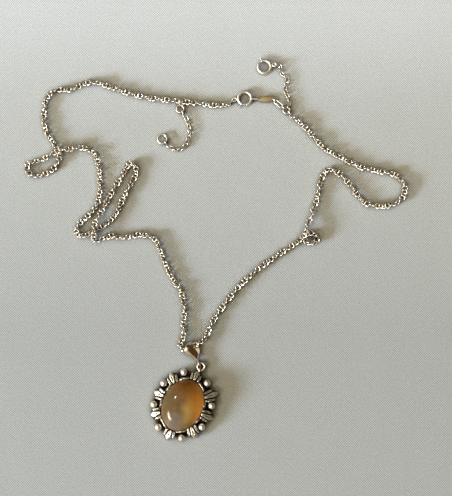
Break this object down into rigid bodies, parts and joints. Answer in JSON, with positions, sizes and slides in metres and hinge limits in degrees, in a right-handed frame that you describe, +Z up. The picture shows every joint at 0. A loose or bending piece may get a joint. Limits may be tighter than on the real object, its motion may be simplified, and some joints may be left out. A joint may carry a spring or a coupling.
{
  "type": "pendant necklace",
  "caption": "Fine twisted silver chain with a bolt-ring clasp, tag and short safety chain, carrying a leaf-framed oval amber cabochon pendant on a folded bail.",
  "frame": {"origin": "centre of the pendant's flat back, on the table the necklace lies on", "axes": "+Z up out of the table; +Y from the pendant towards the clasp; +X to the right with the stone facing up"},
  "size_m": [0.1344, 0.135, 0.0064],
  "materials": {
    "silver": "polished silver worn bright on the raised edges, darkened in the grooves",
    "bezel_silver": "bright polished silver lip, serrated",
    "oxidised_silver": "blackened silver ground behind the leaves",
    "chain_silver": "bright silver wire with dark tarnish between the links",
    "clasp_silver": "smooth polished silver, softly worn",
    "gold": "polished pale gold plate",
    "amber": "polished translucent amber, brown to honey with milky streaks",
    "spring_steel": "bare drawn wire"
  },
  "bodies": {
    "chain": {"main_chain": "chain_silver", "chain_end_link_left": "silver", "chain_end_link_right": "silver"},
    "bail": {"bail": "silver", "bail_eye": "silver"},
    "jump_ring": {"jump_ring": "silver"},
    "pendant": {"back_plate": "oxidised_silver", "bezel": "bezel_silver", "stone": "amber", "leaf_1": "silver", "leaf_2": "silver", "leaf_3": "silver", "leaf_4": "silver", "leaf_5": "silver", "leaf_6": "silver", "leaf_7": "silver", "leaf_8": "silver", "bead_1": "silver", "bead_2": "silver", "bead_3": "silver", "bead_4": "silver", "bead_5": "silver", "bead_6": "silver", "bead_7": "silver", "bead_8": "silver", "frame_loop": "silver"},
    "clasp": {"clasp_body": "clasp_silver", "clasp_loop": "clasp_silver", "clasp_spring": "spring_steel"},
    "clasp_latch": {"clasp_latch": "clasp_silver"},
    "tag_link": {"tag_link": "silver"},
    "tag": {"tag": "gold"},
    "extension_link_1": {"extension_link_1": "silver"},
    "extension_link_2": {"extension_link_2": "silver"},
    "extension_link_3": {"extension_link_3": "silver"},
    "end_ring": {"end_ring": "silver"},
    "safety_ring": {"safety_ring": "silver"},
    "safety_tail_left": {"safety_link_1": "silver", "safety_chain_left": "chain_silver", "safety_link_2": "silver"},
    "safety_end_ring": {"safety_end_ring": "silver"},
    "safety_tail_right": {"safety_link_3": "silver", "safety_chain_right": "chain_silver", "safety_link_4": "silver"},
    "safety_clasp": {"safety_clasp_body": "clasp_silver", "safety_clasp_loop": "clasp_silver", "safety_clasp_spring": "spring_steel"},
    "safety_clasp_latch": {"safety_clasp_latch": "clasp_silver"}
  },
  "joints": [
    {"name": "bail_swing", "type": "hinge", "parent": "chain", "child": "bail", "pos_m": [0.00281, 0.02018, 0.00168], "axis": [0.8988, 0.4384, 0], "range_deg": [-30, 0]},
    {"name": "jump_ring_swing", "type": "hinge", "parent": "bail", "child": "jump_ring", "pos_m": [0.00566, 0.01435, 0.0012], "axis": [0.8192, 0.5736, 0], "range_deg": [-50, 0]},
    {"name": "pendant_swing", "type": "hinge", "parent": "jump_ring", "child": "pendant", "pos_m": [0.00586, 0.0121, 0.0012], "axis": [0.9063, -0.4226, 0], "range_deg": [-75, 0]},
    {"name": "clasp_roll", "type": "hinge", "parent": "chain", "child": "clasp", "pos_m": [0.018, 0.1073, 0.00095], "axis": [0.9991, 0.0415, 0], "range_deg": [-20, 20]},
    {"name": "clasp_latch_slide", "type": "hinge", "parent": "clasp", "child": "clasp_latch", "pos_m": [0.02173, 0.10773, 0.00095], "axis": [0, 0, -1], "range_deg": [0, 32], "stiffness_Nm_per_rad": 0.000002, "springref_deg": -17.19, "deforming": ["clasp_spring"]},
    {"name": "tag_link_roll", "type": "hinge", "parent": "chain", "child": "tag_link", "pos_m": [0.02715, 0.10734, 0.00095], "axis": [0.9974, -0.0722, 0], "range_deg": [-15, 15]},
    {"name": "tag_roll", "type": "hinge", "parent": "chain", "child": "tag", "pos_m": [0.0293, 0.10745, 0.00095], "axis": [0.9986, 0.0523, 0], "range_deg": [-15, 15]},
    {"name": "extension_link_1_roll", "type": "hinge", "parent": "chain", "child": "extension_link_1", "pos_m": [0.03145, 0.10756, 0.00095], "axis": [0.7773, -0.6291, 0], "range_deg": [-15, 15]},
    {"name": "extension_link_2_roll", "type": "hinge", "parent": "chain", "child": "extension_link_2", "pos_m": [0.03368, 0.10575, 0.00095], "axis": [0.7773, -0.6291, 0], "range_deg": [-15, 15]},
    {"name": "extension_link_3_roll", "type": "hinge", "parent": "chain", "child": "extension_link_3", "pos_m": [0.03471, 0.10492, 0.00095], "axis": [0.7773, -0.6291, 0], "range_deg": [-15, 15]},
    {"name": "end_ring_turn", "type": "hinge", "parent": "chain", "child": "end_ring", "pos_m": [0.03643, 0.10353, 0.00095], "axis": [0, 0, 1], "continuous": true},
    {"name": "safety_ring_swing", "type": "hinge", "parent": "chain", "child": "safety_ring", "pos_m": [-0.0011, 0.10533, 0.00095], "axis": [0.9945, -0.1045, 0], "range_deg": [-70, 0]},
    {"name": "safety_tail_left_swing", "type": "hinge", "parent": "safety_ring", "child": "safety_tail_left", "pos_m": [-0.00067, 0.10338, 0.00095], "axis": [0, 0, 1], "range_deg": [-25, 25]},
    {"name": "safety_end_ring_swing", "type": "hinge", "parent": "safety_tail_left", "child": "safety_end_ring", "pos_m": [-0.00675, 0.09254, 0.00095], "axis": [0, 0, 1], "range_deg": [-45, 45]},
    {"name": "safety_tail_right_swing", "type": "hinge", "parent": "chain", "child": "safety_tail_right", "pos_m": [0.03666, 0.10408, 0.00095], "axis": [0, 0, 1], "range_deg": [-20, 20]},
    {"name": "safety_clasp_swing", "type": "hinge", "parent": "safety_tail_right", "child": "safety_clasp", "pos_m": [0.03228, 0.11976, 0.00095], "axis": [0, 0, 1], "range_deg": [-30, 30]},
    {"name": "safety_clasp_latch_slide", "type": "hinge", "parent": "safety_clasp", "child": "safety_clasp_latch", "pos_m": [0.02866, 0.119, 0.00095], "axis": [0, 0, -1], "range_deg": [0, 32], "stiffness_Nm_per_rad": 0.000002, "springref_deg": -17.19, "deforming": ["safety_clasp_spring"]}
  ]
}
